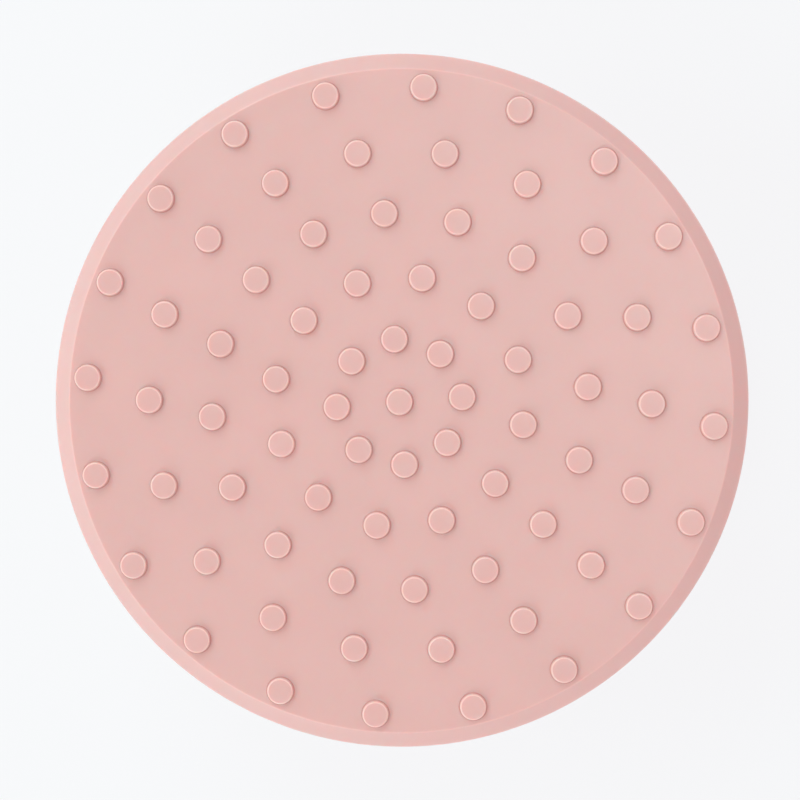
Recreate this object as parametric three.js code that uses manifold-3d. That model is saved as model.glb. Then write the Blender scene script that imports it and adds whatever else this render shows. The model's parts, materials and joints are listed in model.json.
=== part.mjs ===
// Palm-held facial cleansing brush: a round, rechargeable device with a studded silicone face.
// It lies on its back with the studs up. Millimetres, +Z up, origin at the centre of the back.
// The charging port faces -Y. A vibration motor and a flat cell hang under the front shell, and
// the circuit board stands on the rear shell, above the power button.

import * as THREE from 'three';
import { mergeVertices } from 'three/addons/utils/BufferGeometryUtils.js';
import Module from 'manifold-3d';

const wasm = await Module();
wasm.setup();

// Facets round a full turn, and clearances.
const BIG_ROUND = 64;
const MID_ROUND = 32;
const ROUND = 24;
const SMALL_ROUND = 12;
const ARC_STEPS = 4;
const CURVE_SEGMENTS = 4; // an arc in an extruded shape gets twice as many steps
const WELD = 1e-4;
const FIT = 0.1; // between pieces that sit in or on one another
const TOUCH = 0.05; // under a piece that is soldered, glued or screwed down
const BITE = 0.1; // how far a joined shape reaches into the one it grows from
const PAST = 1; // how far a cutting shape runs past the surface it opens

// The silicone face.
const RADIUS = 40;
const FACE_Z = 28;
const RIM_CHAMFER = 2.1;
const SKIN = 1.8;
const PARTING_Z = 15.5; // lower edge of the silicone
const STUD_RADIUS = 1.5;
const STUD_HEIGHT = 0.6;
const STUD_PITCH = 7.165; // from ring to ring
const STUDS_IN_RING = [8, 12, 16, 18, 20];
const STUD_TURN = 139.6; // degrees from +X to the stud that every ring shares

// The front shell, which the silicone is stretched over.
const FRONT_RADIUS = RADIUS - SKIN - FIT;
const FRONT_TOP = FACE_Z - SKIN - FIT;
const FRONT_INSIDE = FRONT_RADIUS - 1.8;
const CEILING_Z = FRONT_TOP - 1.6;
const CORNER = 0.9; // chamfer under the silicone's rim
const BEAD_Z = 18.5; // the silicone's inner bead, in the front shell's groove
const BEAD_DEPTH = 0.5;

// The rear shell.
const REAR_RADIUS = 39.4;
const REAR_TOP = PARTING_Z - 0.3;
const BACK_EDGE = 6; // radius of the rounded edge of the back
const SIDE_WALL = 2;
const FLOOR_Z = 2.4;
const INNER_EDGE = 4;
const DISH_RADIUS = 12; // shallow dish round the power button
const DISH_DEPTH = 0.9;
const BUTTON_HOLE = 7;
const LIP_OUTER = FRONT_INSIDE - FIT;
const LIP_INNER = 34.9;
const LIP_TOP = 19;
const LIP_ROOT = 13;
const SEAL_Z = 17;
const SEAL_HEIGHT = 1;
const SEAL_GROOVE = 0.8;

// Four long screws hold the two shells together.
const SHELL_SCREW_RING = 31;
const SHELL_SCREW_ANGLES = [45, 135, 225, 315];
const SHELL_SCREW = { head: 1.9, headHeight: 1.3, shank: 1, length: 9.15, socket: 0.9 };
const BOSS_RADIUS = 3;
const BOSS_TOP = 22.9;
const BOSS_PILOT_FROM = 14;
const HEAD_FLOOR = CEILING_Z + 0.1;

// The motor, which lies along X.
const MOTOR_Y = 12;
const MOTOR_Z = 18.2;
const MOTOR_RADIUS = 5;
const SHAFT_RADIUS = 0.75;
const SHAFT_BORE = 0.8;
const BUSH_RADIUS = 1.52;
const DAMPER_RADIUS = 6;
const CRADLE_BORE = DAMPER_RADIUS + FIT;
const CRADLE_X = [-7, 5];
const CRADLE_HALF = 10.1; // half the width of the cradle and of its clamp, across the motor
const CLAMP_X = [-6, 4];
const CLAMP_SCREW_OFFSET = 8.4;
const CLAMP_FLANGE_Z = [MOTOR_Z - 1.6, MOTOR_Z];
const CLAMP_RADIUS = 7;
const CLAMP_SCREW = { head: 1.4, headHeight: 1.1, shank: 0.8, length: 5.9, socket: 0.7 };
const SMALL_PILOT = 0.85; // hole that a 0.8 mm shank bites into

// The circuit board.
const BOARD_Z = [6.4, 7.6];
const BOARD_X = [-15, 15];
const BOARD_Y = [-33.5, 13];
const BOARD_CORNER = 2;
const BOARD_HOLE = 1.15;
const STANDOFF_X = 12;
const STANDOFF_Y = [-18, 9];
const STANDOFF_RADIUS = 2.5;
const LOCATING_PIN = 1;
const BOARD_SCREW = { head: 1.6, headHeight: 1.15, shank: 0.8, length: 4.2, socket: 0.75 };

// The power button and the indicator in the back.
const BUTTON_Z = 0.35;
const BUTTON_RADIUS = BUTTON_HOLE - 0.3;
const BUTTON_FLANGE = 8.4;
const BUTTON_FLANGE_Z = [2.5, 3.2];
const SWITCH_BASE_Z = 4.5;
const PLUNGER_RADIUS = 1.6;
const BOOT_RING = [9.2, 11.2];
const BOOT_WALL = [7.4, 8.2];
const BOOT_Z = 4.3; // the underside of the boot's clamped flange
const BOOT_THICKNESS = 0.4;
const INDICATOR_Y = -15;
const LIGHT_PIPE_RADIUS = 1.2;

// The charging port and its flap, in the side wall at -Y.
const PORT_Z = 9.25;
const PORT_WALL_X = [-9.8, 9.2]; // the side wall is thicker between these
const PORT_WALL_Z = [5, LIP_ROOT];
const PORT_WALL_INNER = 36.5;
const PORT_OPENING = [9.4, 3.6];
const SOCKET_OUTSIDE = [8.94, 3.16];
const SOCKET_INSIDE = [8.34, 2.56];
const SOCKET_Y = [-36.2, -28.9];
const THROUGH_WALL_Y = [-RADIUS - PAST, -30];
const POCKET_RADIUS = 38;
const POCKET_Z = [6.3, 12.2];
const POCKET_ANGLES = [-14.8, 12.6]; // degrees from -Y towards +X
const FLAP_RADII = [POCKET_RADIUS + FIT, REAR_RADIUS - TOUCH];
const FLAP_Z = [6.45, 12.05];
const FLAP_ANGLES = [-10.4, 12.1];
const FLAP_PLUG = [8.6, 2.9];
const FLAP_LIP_RADIUS = RADIUS - 0.15;
const FLAP_LIP_FROM = 9.8;
const ANCHOR_ANGLES = [-14.5, -11.3];
const ANCHOR_PEG_X = -8.7;
const ANCHOR_PEG_RADIUS = 1.2;

// The battery, under the front shell.
const CELL_X = [-18, 18];
const CELL_Y = [-24, -2];
const CELL_Z = [16.4, 23.4];
const FENCE_Z = [19, CEILING_Z + BITE]; // low walls that keep the cell in place
const WIRE_RADIUS = 0.5;
const WIRE_STEPS = 14;

// A plain coloured material for each kind of piece.
const material = (color, roughness, metalness = 0) =>
  new THREE.MeshStandardMaterial({ color, roughness, metalness });
const SILICONE = material('#e6bab3', 0.55);
const SHELL_PLASTIC = material('#efd9d2', 0.45);
const BUTTON_PLASTIC = material('#f3e6e1', 0.35);
const INNER_PLASTIC = material('#d9d5d0', 0.5);
const CLEAR_PLASTIC = material('#f4f6f8', 0.15);
const DARK_RUBBER = material('#54514f', 0.8);
const STEEL = material('#b9bcc0', 0.35, 0.9);
const COPPER = material('#b87345', 0.4, 0.9);
const MAGNET = material('#4a4a4d', 0.6, 0.2);
const BOARD_GREEN = material('#1f5c3d', 0.5);
const CHIP_BLACK = material('#1c1c1e', 0.5);
const FOIL = material('#c3c7cc', 0.3, 0.8);
const WIRE_RED = material('#b3261e', 0.5);
const WIRE_BLACK = material('#202020', 0.5);

const radians = THREE.MathUtils.degToRad;
const middle = ([low, high]) => (low + high) / 2;

// ---------------------------------------------------------------- shapes

// Points round part of a circle in an outline, both ends included.
function arc(centreR, centreZ, radius, start, end, steps = ARC_STEPS) {
  const points = [];
  for (let i = 0; i <= steps; i += 1) {
    const angle = radians(start + ((end - start) * i) / steps);
    points.push([centreR + radius * Math.cos(angle), centreZ + radius * Math.sin(angle)]);
  }
  return points;
}

// A solid turned about Z from an outline of [radius, height] points.
// An outline that doesn't start on the axis is closed into a ring.
function turned(outline, facets = BIG_ROUND) {
  const points = outline.map(([radius, height]) => new THREE.Vector2(radius, height));
  if (THREE.ShapeUtils.area(points) < 0) {
    points.reverse();
  }
  if (points[0].x > 0) {
    points.push(points[0].clone());
  }
  return new THREE.LatheGeometry(points, facets).rotateX(Math.PI / 2);
}

function post(radius, [low, high], facets = SMALL_ROUND) {
  return turned([[0, low], [radius, low], [radius, high], [0, high]], facets);
}

function ring([inner, outer], [low, high], facets = BIG_ROUND) {
  return turned([[inner, low], [outer, low], [outer, high], [inner, high]], facets);
}

function box([x0, x1], [y0, y1], [z0, z1]) {
  const block = new THREE.BoxGeometry(x1 - x0, y1 - y0, z1 - z0);
  return block.translate(middle([x0, x1]), middle([y0, y1]), middle([z0, z1]));
}

function extrudeZ(shape, [low, high], curveSegments = CURVE_SEGMENTS) {
  const settings = { depth: high - low, bevelEnabled: false, curveSegments };
  return new THREE.ExtrudeGeometry(shape, settings).translate(0, 0, low);
}

// A bar along Y, whose section is drawn as [x, z] and centred on the port's height.
function extrudeY(shape, [near, far]) {
  return extrudeZ(shape, [-far, -near]).rotateX(Math.PI / 2).translate(0, 0, PORT_Z);
}

// Part of a ring about Z. Its angles run from -Y towards +X, in degrees.
function ringPart([inner, outer], [from, to], heights, curveSegments = 3) {
  const start = radians(from - 90);
  const end = radians(to - 90);
  const shape = new THREE.Shape();
  shape.absarc(0, 0, outer, start, end, false);
  shape.absarc(0, 0, inner, end, start, true);
  return extrudeZ(shape, heights, curveSegments);
}

// A slot with round ends, lying along its width.
function stadium(width, height, ShapeKind = THREE.Shape) {
  const radius = height / 2;
  const reach = width / 2 - radius;
  const shape = new ShapeKind();
  shape.absarc(reach, 0, radius, -Math.PI / 2, Math.PI / 2, false);
  shape.absarc(-reach, 0, radius, Math.PI / 2, Math.PI * 1.5, false);
  return shape;
}

// The flap anchor's peg, or the hole it sits in.
function pegAlongY(radius, [near, far]) {
  return post(radius, [-far, -near]).rotateX(Math.PI / 2).translate(ANCHOR_PEG_X, 0, PORT_Z);
}

function roundedPlate([x0, x1], [y0, y1], heights, corner, holes) {
  const shape = new THREE.Shape();
  shape.absarc(x1 - corner, y0 + corner, corner, -Math.PI / 2, 0, false);
  shape.absarc(x1 - corner, y1 - corner, corner, 0, Math.PI / 2, false);
  shape.absarc(x0 + corner, y1 - corner, corner, Math.PI / 2, Math.PI, false);
  shape.absarc(x0 + corner, y0 + corner, corner, Math.PI, Math.PI * 1.5, false);
  for (const [x, y, radius] of holes) {
    const hole = new THREE.Path();
    hole.absarc(x, y, radius, 0, Math.PI * 2, true);
    shape.holes.push(hole);
  }
  return extrudeZ(shape, heights);
}

// A round wire through the points.
function wire(points) {
  const section = new THREE.Shape();
  section.absarc(0, 0, WIRE_RADIUS, 0, Math.PI * 2, false);
  const path = new THREE.CatmullRomCurve3(points.map((point) => new THREE.Vector3(...point)));
  const settings = { extrudePath: path, steps: WIRE_STEPS, curveSegments: CURVE_SEGMENTS };
  return new THREE.ExtrudeGeometry(section, settings);
}

// A screw with a hexagonal socket, head towards +Z. Heights are measured from under the head.
function screw({ head, headHeight, shank, length, socket }) {
  const body = turned(
    [
      [0, -length],
      [shank * 0.6, -length],
      [shank, -length + shank * 0.8],
      [shank, 0],
      [head, 0],
      [head, headHeight * 0.7],
      [head * 0.85, headHeight],
      [0, headHeight],
    ],
    SMALL_ROUND,
  );
  return cut(body, post(socket, [headHeight * 0.45, headHeight + PAST], 6));
}

// ---------------------------------------------------------------- joining and cutting

function toSolid(geometry) {
  const bare = geometry.clone();
  bare.deleteAttribute('normal');
  bare.deleteAttribute('uv');
  const merged = mergeVertices(bare, WELD);
  const index = merged.index.array;
  const triVerts = [];
  for (let i = 0; i < index.length; i += 3) {
    const [a, b, c] = index.slice(i, i + 3);
    if (a !== b && b !== c && c !== a) {
      triVerts.push(a, b, c);
    }
  }
  const mesh = new wasm.Mesh({
    numProp: 3,
    vertProperties: merged.attributes.position.array,
    triVerts: new Uint32Array(triVerts),
  });
  return new wasm.Manifold(mesh);
}

function toGeometry(solid) {
  const mesh = solid.getMesh();
  const geometry = new THREE.BufferGeometry();
  geometry.setAttribute('position', new THREE.BufferAttribute(mesh.vertProperties, 3));
  geometry.setIndex(new THREE.BufferAttribute(mesh.triVerts, 1));
  return geometry;
}

function join(...geometries) {
  return toGeometry(geometries.map(toSolid).reduce((whole, solid) => whole.add(solid)));
}

function cut(geometry, ...tools) {
  const start = toSolid(geometry);
  return toGeometry(tools.map(toSolid).reduce((rest, solid) => rest.subtract(solid), start));
}

function common(one, other) {
  return toGeometry(toSolid(one).intersect(toSolid(other)));
}

// ---------------------------------------------------------------- places

const polar = (radius, degrees) => [
  radius * Math.cos(radians(degrees)),
  radius * Math.sin(radians(degrees)),
];
const shellScrewPlaces = SHELL_SCREW_ANGLES.map((angle) => polar(SHELL_SCREW_RING, angle));
const clampScrewPlaces = [-1, 1].map((side) => [
  middle(CLAMP_X),
  MOTOR_Y + side * CLAMP_SCREW_OFFSET,
]);
const [NEAR_Y, FAR_Y] = STANDOFF_Y;
const boardScrewPlaces = [[-STANDOFF_X, NEAR_Y], [STANDOFF_X, FAR_Y]];
const boardPinPlaces = [[STANDOFF_X, NEAR_Y], [-STANDOFF_X, FAR_Y]];

function studPlaces() {
  const places = [[0, 0]];
  STUDS_IN_RING.forEach((count, ringIndex) => {
    const radius = STUD_PITCH * (ringIndex + 1);
    for (let i = 0; i < count; i += 1) {
      places.push(polar(radius, STUD_TURN + (360 * i) / count));
    }
  });
  return places;
}

// One copy of a shape at each place.
const copies = (places, makeShape) => places.map(([x, y]) => makeShape().translate(x, y, 0));

// ---------------------------------------------------------------- shells and face

function siliconeFace() {
  const inside = RADIUS - SKIN;
  const under = FACE_Z - SKIN;
  const skin = turned([
    [0, under],
    [inside - CORNER, under],
    [inside, under - CORNER],
    [inside, BEAD_Z + 0.7],
    [inside - BEAD_DEPTH, BEAD_Z + 0.4],
    [inside - BEAD_DEPTH, BEAD_Z - 0.4],
    [inside, BEAD_Z - 0.7],
    [inside, PARTING_Z],
    [RADIUS, PARTING_Z],
    [RADIUS, FACE_Z - RIM_CHAMFER],
    [RADIUS - RIM_CHAMFER, FACE_Z],
    [0, FACE_Z],
  ]);
  const stud = () => post(STUD_RADIUS, [FACE_Z - BITE, FACE_Z + STUD_HEIGHT]);
  return join(skin, ...copies(studPlaces(), stud));
}

function motorAxisPost(radius, [from, to]) {
  return post(radius, [from, to], ROUND).rotateY(Math.PI / 2).translate(0, MOTOR_Y, MOTOR_Z);
}

function frontShell() {
  const grooveRadius = FRONT_RADIUS - BEAD_DEPTH - FIT;
  const cup = turned([
    [0, CEILING_Z],
    [FRONT_INSIDE, CEILING_Z],
    [FRONT_INSIDE, REAR_TOP + FIT],
    [FRONT_RADIUS, REAR_TOP + FIT],
    [FRONT_RADIUS, BEAD_Z - 0.9],
    [grooveRadius, BEAD_Z - 0.6],
    [grooveRadius, BEAD_Z + 0.6],
    [FRONT_RADIUS, BEAD_Z + 0.9],
    [FRONT_RADIUS, FRONT_TOP - CORNER],
    [FRONT_RADIUS - CORNER, FRONT_TOP],
    [0, FRONT_TOP],
  ]);
  const pad = () => post(BOSS_RADIUS + 0.2, [BOSS_TOP + FIT, CEILING_Z + BITE]);
  const cradle = box(
    CRADLE_X,
    [MOTOR_Y - CRADLE_HALF, MOTOR_Y + CRADLE_HALF],
    [MOTOR_Z + 0.4, CEILING_Z + BITE],
  );
  const fences = [
    box([-8, 8], [CELL_Y[0] - 1.3, CELL_Y[0] - 0.3], FENCE_Z),
    box([-8, 8], [CELL_Y[1] + 0.3, CELL_Y[1] + 1.3], FENCE_Z),
    box([CELL_X[1] + 0.3, CELL_X[1] + 1.3], [-18, -6], FENCE_Z),
  ];
  const clearance = () => post(SHELL_SCREW.shank + FIT, [BOSS_TOP, FRONT_TOP + PAST]);
  const headRecess = () => post(SHELL_SCREW.head + 0.3, [HEAD_FLOOR, FRONT_TOP + PAST]);
  const pilot = () => post(SMALL_PILOT, [MOTOR_Z, CEILING_Z - 1]);
  return cut(
    join(cup, cradle, ...fences, ...copies(shellScrewPlaces, pad)),
    motorAxisPost(CRADLE_BORE, [CRADLE_X[0] - PAST, CRADLE_X[1] + PAST]),
    ...copies(shellScrewPlaces, clearance),
    ...copies(shellScrewPlaces, headRecess),
    ...copies(clampScrewPlaces, pilot),
  );
}

function rearShell() {
  const outerCentre = REAR_RADIUS - BACK_EDGE;
  const inside = REAR_RADIUS - SIDE_WALL;
  const innerCentre = inside - INNER_EDGE;
  const grooveRadius = LIP_OUTER - SEAL_GROOVE;
  const grooveZ = [SEAL_Z - SEAL_HEIGHT / 2 - FIT, SEAL_Z + SEAL_HEIGHT / 2 + FIT];
  const tub = turned([
    [BUTTON_HOLE, DISH_DEPTH],
    [DISH_RADIUS, DISH_DEPTH],
    [DISH_RADIUS + 0.4, 0],
    ...arc(outerCentre, BACK_EDGE, BACK_EDGE, -90, 0),
    [REAR_RADIUS, REAR_TOP],
    [LIP_OUTER, REAR_TOP],
    [LIP_OUTER, grooveZ[0]],
    [grooveRadius, grooveZ[0]],
    [grooveRadius, grooveZ[1]],
    [LIP_OUTER, grooveZ[1]],
    [LIP_OUTER, LIP_TOP],
    [LIP_INNER, LIP_TOP],
    [LIP_INNER, LIP_ROOT],
    [inside, LIP_ROOT],
    ...arc(innerCentre, FLOOR_Z + INNER_EDGE, INNER_EDGE, 0, -90, 3),
    [BUTTON_HOLE, FLOOR_Z],
  ]);
  const root = FLOOR_Z - BITE;
  const boss = () => post(BOSS_RADIUS, [root, BOSS_TOP]);
  const bossPilot = () => post(SHELL_SCREW.shank + TOUCH, [BOSS_PILOT_FROM, BOSS_TOP + PAST]);
  const standoff = () => post(STANDOFF_RADIUS, [root, BOARD_Z[0] - TOUCH]);
  const standoffPilot = () => post(SMALL_PILOT, [FLOOR_Z + 0.7, BOARD_Z[0] + PAST]);
  const pin = () => post(LOCATING_PIN, [root, BOARD_Z[1] - 0.2]);
  const bootSeat = ring(BOOT_RING, [root, BOOT_Z - TOUCH], MID_ROUND);
  const wallHeights = [PORT_WALL_Z[0], PORT_WALL_Z[1] + BITE];
  const wallRing = ring([PORT_WALL_INNER, inside + BITE], wallHeights);
  const thickening = common(wallRing, box(PORT_WALL_X, THROUGH_WALL_Y, wallHeights));
  const portHole = extrudeY(stadium(...PORT_OPENING), THROUGH_WALL_Y);
  const pocket = ringPart([POCKET_RADIUS, RADIUS + PAST], POCKET_ANGLES, POCKET_Z);
  const pegHole = pegAlongY(ANCHOR_PEG_RADIUS + FIT, THROUGH_WALL_Y);
  const indicatorHole = post(LIGHT_PIPE_RADIUS + TOUCH, [-PAST, FLOOR_Z + PAST]);
  return cut(
    join(
      tub,
      bootSeat,
      thickening,
      ...copies(shellScrewPlaces, boss),
      ...copies([...boardScrewPlaces, ...boardPinPlaces], standoff),
      ...copies(boardPinPlaces, pin),
    ),
    portHole,
    pocket,
    pegHole,
    indicatorHole.translate(0, INDICATOR_Y, 0),
    ...copies(shellScrewPlaces, bossPilot),
    ...copies(boardScrewPlaces, standoffPilot),
  );
}

function shellSeal() {
  const radii = [LIP_OUTER - SEAL_GROOVE + TOUCH, FRONT_INSIDE - 0.02];
  return ring(radii, [SEAL_Z - SEAL_HEIGHT / 2, SEAL_Z + SEAL_HEIGHT / 2]);
}

// ---------------------------------------------------------------- motor, built along +Z at the origin

function motorCan() {
  return turned(
    [
      [BUSH_RADIUS + 0.08, 6.2],
      [BUSH_RADIUS + 0.08, 8.2],
      [2.4, 8.2],
      [2.4, 7],
      [MOTOR_RADIUS, 7],
      [MOTOR_RADIUS, -9],
      [4.4, -9],
      [4.4, 6.2],
    ],
    ROUND,
  );
}

function motorEndCap() {
  return turned(
    [
      [0, -10.5],
      [MOTOR_RADIUS, -10.5],
      [MOTOR_RADIUS, -9.05],
      [BUSH_RADIUS + 0.08, -9.05],
      [BUSH_RADIUS + 0.08, -10],
      [0, -10],
    ],
    ROUND,
  );
}

// A curved magnet over or under the armature.
function fieldMagnet(side) {
  const facing = side * 90;
  return ringPart([3.75, 4.35], [facing - 70, facing + 70], [-7, 5]);
}

// The laminated core: a round bar with three slots.
function armature() {
  const core = turned([[SHAFT_BORE, -6], [3.3, -6], [3.3, 4], [SHAFT_BORE, 4]], ROUND);
  const slots = [0, 120, 240].map((angle) =>
    box([1.9, 4], [-0.45, 0.45], [-6 - PAST, 4 + PAST]).rotateZ(radians(angle)),
  );
  return cut(core, ...slots);
}

// A half disc on a hub. Its heavy side faces local +X, which is down once the motor lies along X.
function eccentricWeight() {
  const span = [9.5, 15];
  const disc = post(5.5, span, ROUND);
  const heavySide = box([0, 6], [-6, 6], [8, 16]);
  const hub = post(2.2, span, ROUND);
  return cut(join(common(disc, heavySide), hub), post(SHAFT_BORE, [8, 16]));
}

function carbonBrush(side) {
  return box([1.5, 4.2], [-0.6, 0.6], [-7.9, -6.7]).rotateZ(side > 0 ? Math.PI / 2 : -Math.PI / 2);
}

function motorClamp() {
  const flanges = box(
    CLAMP_X,
    [MOTOR_Y - CRADLE_HALF, MOTOR_Y + CRADLE_HALF],
    CLAMP_FLANGE_Z,
  );
  const reach = CLAMP_RADIUS + PAST;
  const under = box(CLAMP_X, [MOTOR_Y - reach, MOTOR_Y + reach], [MOTOR_Z - reach, MOTOR_Z]);
  const band = common(motorAxisPost(CLAMP_RADIUS, CLAMP_X), under);
  const holeHeights = [CLAMP_FLANGE_Z[0] - PAST, CLAMP_FLANGE_Z[1] + PAST];
  const hole = () => post(SMALL_PILOT + FIT, holeHeights);
  return cut(
    join(flanges, band),
    motorAxisPost(CRADLE_BORE, [CLAMP_X[0] - PAST, CLAMP_X[1] + PAST]),
    ...copies(clampScrewPlaces, hole),
  );
}

// ---------------------------------------------------------------- button and indicator

function powerButton() {
  return turned(
    [
      [0, BUTTON_Z],
      [BUTTON_RADIUS - 0.3, BUTTON_Z],
      [BUTTON_RADIUS, BUTTON_Z + 0.3],
      [BUTTON_RADIUS, BUTTON_FLANGE_Z[0]],
      [BUTTON_FLANGE, BUTTON_FLANGE_Z[0]],
      [BUTTON_FLANGE, BUTTON_FLANGE_Z[1]],
      [0, BUTTON_FLANGE_Z[1]],
    ],
    MID_ROUND,
  );
}

// A soft top hat: its wall stands on the button's flange and its brim is clamped to the rear shell.
function buttonBoot() {
  const foot = BUTTON_FLANGE_Z[1] + TOUCH;
  const brim = BOOT_Z + BOOT_THICKNESS;
  return turned(
    [
      [BOOT_WALL[0], foot],
      [BOOT_WALL[1], foot],
      [BOOT_WALL[1], BOOT_Z],
      [BOOT_RING[1], BOOT_Z],
      [BOOT_RING[1], brim],
      [BOOT_WALL[0], brim],
    ],
    MID_ROUND,
  );
}

function lightPipe() {
  const flange = [FLOOR_Z + TOUCH, FLOOR_Z + 0.8];
  const pipe = turned(
    [
      [0, 0.3],
      [LIGHT_PIPE_RADIUS, 0.3],
      [LIGHT_PIPE_RADIUS, flange[0]],
      [1.9, flange[0]],
      [1.9, flange[1]],
      [LIGHT_PIPE_RADIUS, flange[1]],
      [LIGHT_PIPE_RADIUS, 5.5],
      [0, 5.5],
    ],
    SMALL_ROUND,
  );
  return pipe.translate(0, INDICATOR_Y, 0);
}

// ---------------------------------------------------------------- port and flap

function usbShell() {
  const section = stadium(...SOCKET_OUTSIDE);
  section.holes.push(stadium(...SOCKET_INSIDE, THREE.Path));
  return extrudeY(section, SOCKET_Y);
}

function usbTongue() {
  const [width, height] = SOCKET_INSIDE;
  const base = extrudeY(stadium(width - 0.24, height - 0.26), [SOCKET_Y[1] - 1.5, SOCKET_Y[1]]);
  const tongue = box([-3.35, 3.35], [-35.6, -30], [PORT_Z - 0.35, PORT_Z + 0.35]);
  return join(base, tongue);
}

function portFlap() {
  const cover = ringPart(FLAP_RADII, FLAP_ANGLES, FLAP_Z);
  const lipRadii = [FLAP_RADII[1] - BITE, FLAP_LIP_RADIUS];
  const fingerLip = ringPart(lipRadii, [FLAP_LIP_FROM, FLAP_ANGLES[1]], FLAP_Z, 1);
  const plug = extrudeY(stadium(...FLAP_PLUG), [-38.6, SOCKET_Y[0] - 0.4]);
  return join(cover, fingerLip, plug);
}

function flapAnchor() {
  const strip = ringPart(FLAP_RADII, ANCHOR_ANGLES, FLAP_Z, 1);
  return join(strip, pegAlongY(ANCHOR_PEG_RADIUS, [-FLAP_RADII[0] - BITE, -35.9]));
}

// ---------------------------------------------------------------- circuit board and battery

function circuitBoard() {
  const places = [...boardScrewPlaces, ...boardPinPlaces];
  const holes = places.map(([x, y]) => [x, y, BOARD_HOLE]);
  return roundedPlate(BOARD_X, BOARD_Y, BOARD_Z, BOARD_CORNER, holes);
}

// A chip soldered to the top of the board.
function chip(width, height) {
  const half = width / 2;
  const underside = BOARD_Z[1] + TOUCH;
  return box([-half, half], [-half, half], [underside, underside + height]);
}

function switchBody() {
  const body = box([-3, 3], [-3, 3], [SWITCH_BASE_Z, BOARD_Z[0] - TOUCH]);
  return cut(body, post(PLUNGER_RADIUS + 0.2, [SWITCH_BASE_Z - PAST, SWITCH_BASE_Z + 1.5]));
}

function connectorSocket() {
  const underside = BOARD_Z[1] + TOUCH;
  const body = box([-9.5, -4.5], [-11.5, -5.5], [underside, 11.2]);
  return cut(body, box([-9.5 - PAST, -6.5], [-10.8, -6.2], [8.4, 10.6]));
}

function leadRoutes() {
  const battery = (startY, middleY, endY) => [
    [-19.95, startY, 20.5],
    [-20.8, startY, 20.4],
    [-21.7, startY, 18.6],
    [-21, middleY, 15.4],
    [-17.6, middleY, 12],
    [-14.4, endY, 9.9],
    [-12.6, endY, 9.5],
    [-11.7, endY, 9.5],
  ];
  return {
    battery_lead_positive: battery(-7, -7.2, -7.5),
    battery_lead_negative: battery(-11, -10.2, -9.5),
    motor_lead_positive: [
      [-10.65, 14, 18.2],
      [-11.5, 14, 18.1],
      [-13.2, 13.6, 16.6],
      [-14, 12, 13.2],
      [-13.4, 7, 10.8],
      [-12.1, 3, 10],
      [-12, 2.2, 8.8],
      [-12, 2.2, 7.75],
    ],
    motor_lead_negative: [
      [-10.65, 10, 18.2],
      [-11.4, 10, 18.1],
      [-12.4, 9.3, 16.4],
      [-12.2, 6.5, 12.8],
      [-10.3, 2.2, 10.4],
      [-9.5, 1.1, 8.8],
      [-9.5, 1.1, 7.75],
    ],
  };
}

// ---------------------------------------------------------------- the assembly

const brush = new THREE.Group();

function addPiece(parent, name, geometry, look) {
  const mesh = new THREE.Mesh(geometry, look);
  mesh.name = name;
  parent.add(mesh);
  return mesh;
}

function addGroup(parent, x = 0, y = 0, z = 0) {
  const group = new THREE.Group();
  group.position.set(x, y, z);
  parent.add(group);
  return group;
}

function addShells() {
  addPiece(brush, 'silicone_face', siliconeFace(), SILICONE);
  addPiece(brush, 'front_shell', frontShell(), INNER_PLASTIC);
  addPiece(brush, 'rear_shell', rearShell(), SHELL_PLASTIC);
  addPiece(brush, 'shell_seal', shellSeal(), DARK_RUBBER);
  shellScrewPlaces.forEach(([x, y], i) => {
    const piece = addPiece(brush, `shell_screw_${i + 1}`, screw(SHELL_SCREW), STEEL);
    piece.position.set(x, y, HEAD_FLOOR + TOUCH);
  });
}

function addMotor() {
  const motor = addGroup(brush, 0, MOTOR_Y, MOTOR_Z);
  motor.rotation.y = Math.PI / 2;
  addPiece(motor, 'motor_can', motorCan(), STEEL);
  addPiece(motor, 'motor_end_cap', motorEndCap(), INNER_PLASTIC);
  addPiece(motor, 'motor_bush_front', ring([SHAFT_BORE, BUSH_RADIUS], [5.9, 8.2], ROUND), COPPER);
  addPiece(motor, 'motor_bush_rear', ring([SHAFT_BORE, BUSH_RADIUS], [-9.95, -8.8], ROUND), COPPER);
  addPiece(motor, 'field_magnet_upper', fieldMagnet(-1), MAGNET);
  addPiece(motor, 'field_magnet_lower', fieldMagnet(1), MAGNET);
  addPiece(motor, 'carbon_brush_left', carbonBrush(1), CHIP_BLACK);
  addPiece(motor, 'carbon_brush_right', carbonBrush(-1), CHIP_BLACK);
  addPiece(motor, 'motor_damper', ring([5.05, DAMPER_RADIUS], [-8, 6], ROUND), DARK_RUBBER);
  addPiece(motor, 'motor_shaft', post(SHAFT_RADIUS, [-9.9, 16]), STEEL);
  addPiece(motor, 'armature', armature(), COPPER);
  addPiece(motor, 'commutator', ring([SHAFT_BORE, 1.4], [-8.3, -6.3], ROUND), COPPER);
  addPiece(motor, 'eccentric_weight', eccentricWeight(), STEEL);
  addPiece(brush, 'motor_clamp', motorClamp(), STEEL);
  clampScrewPlaces.forEach(([x, y], i) => {
    const piece = addPiece(brush, `motor_clamp_screw_${i + 1}`, screw(CLAMP_SCREW), STEEL);
    piece.position.set(x, y, CLAMP_FLANGE_Z[0] - TOUCH);
    piece.rotation.x = Math.PI;
  });
}

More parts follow.
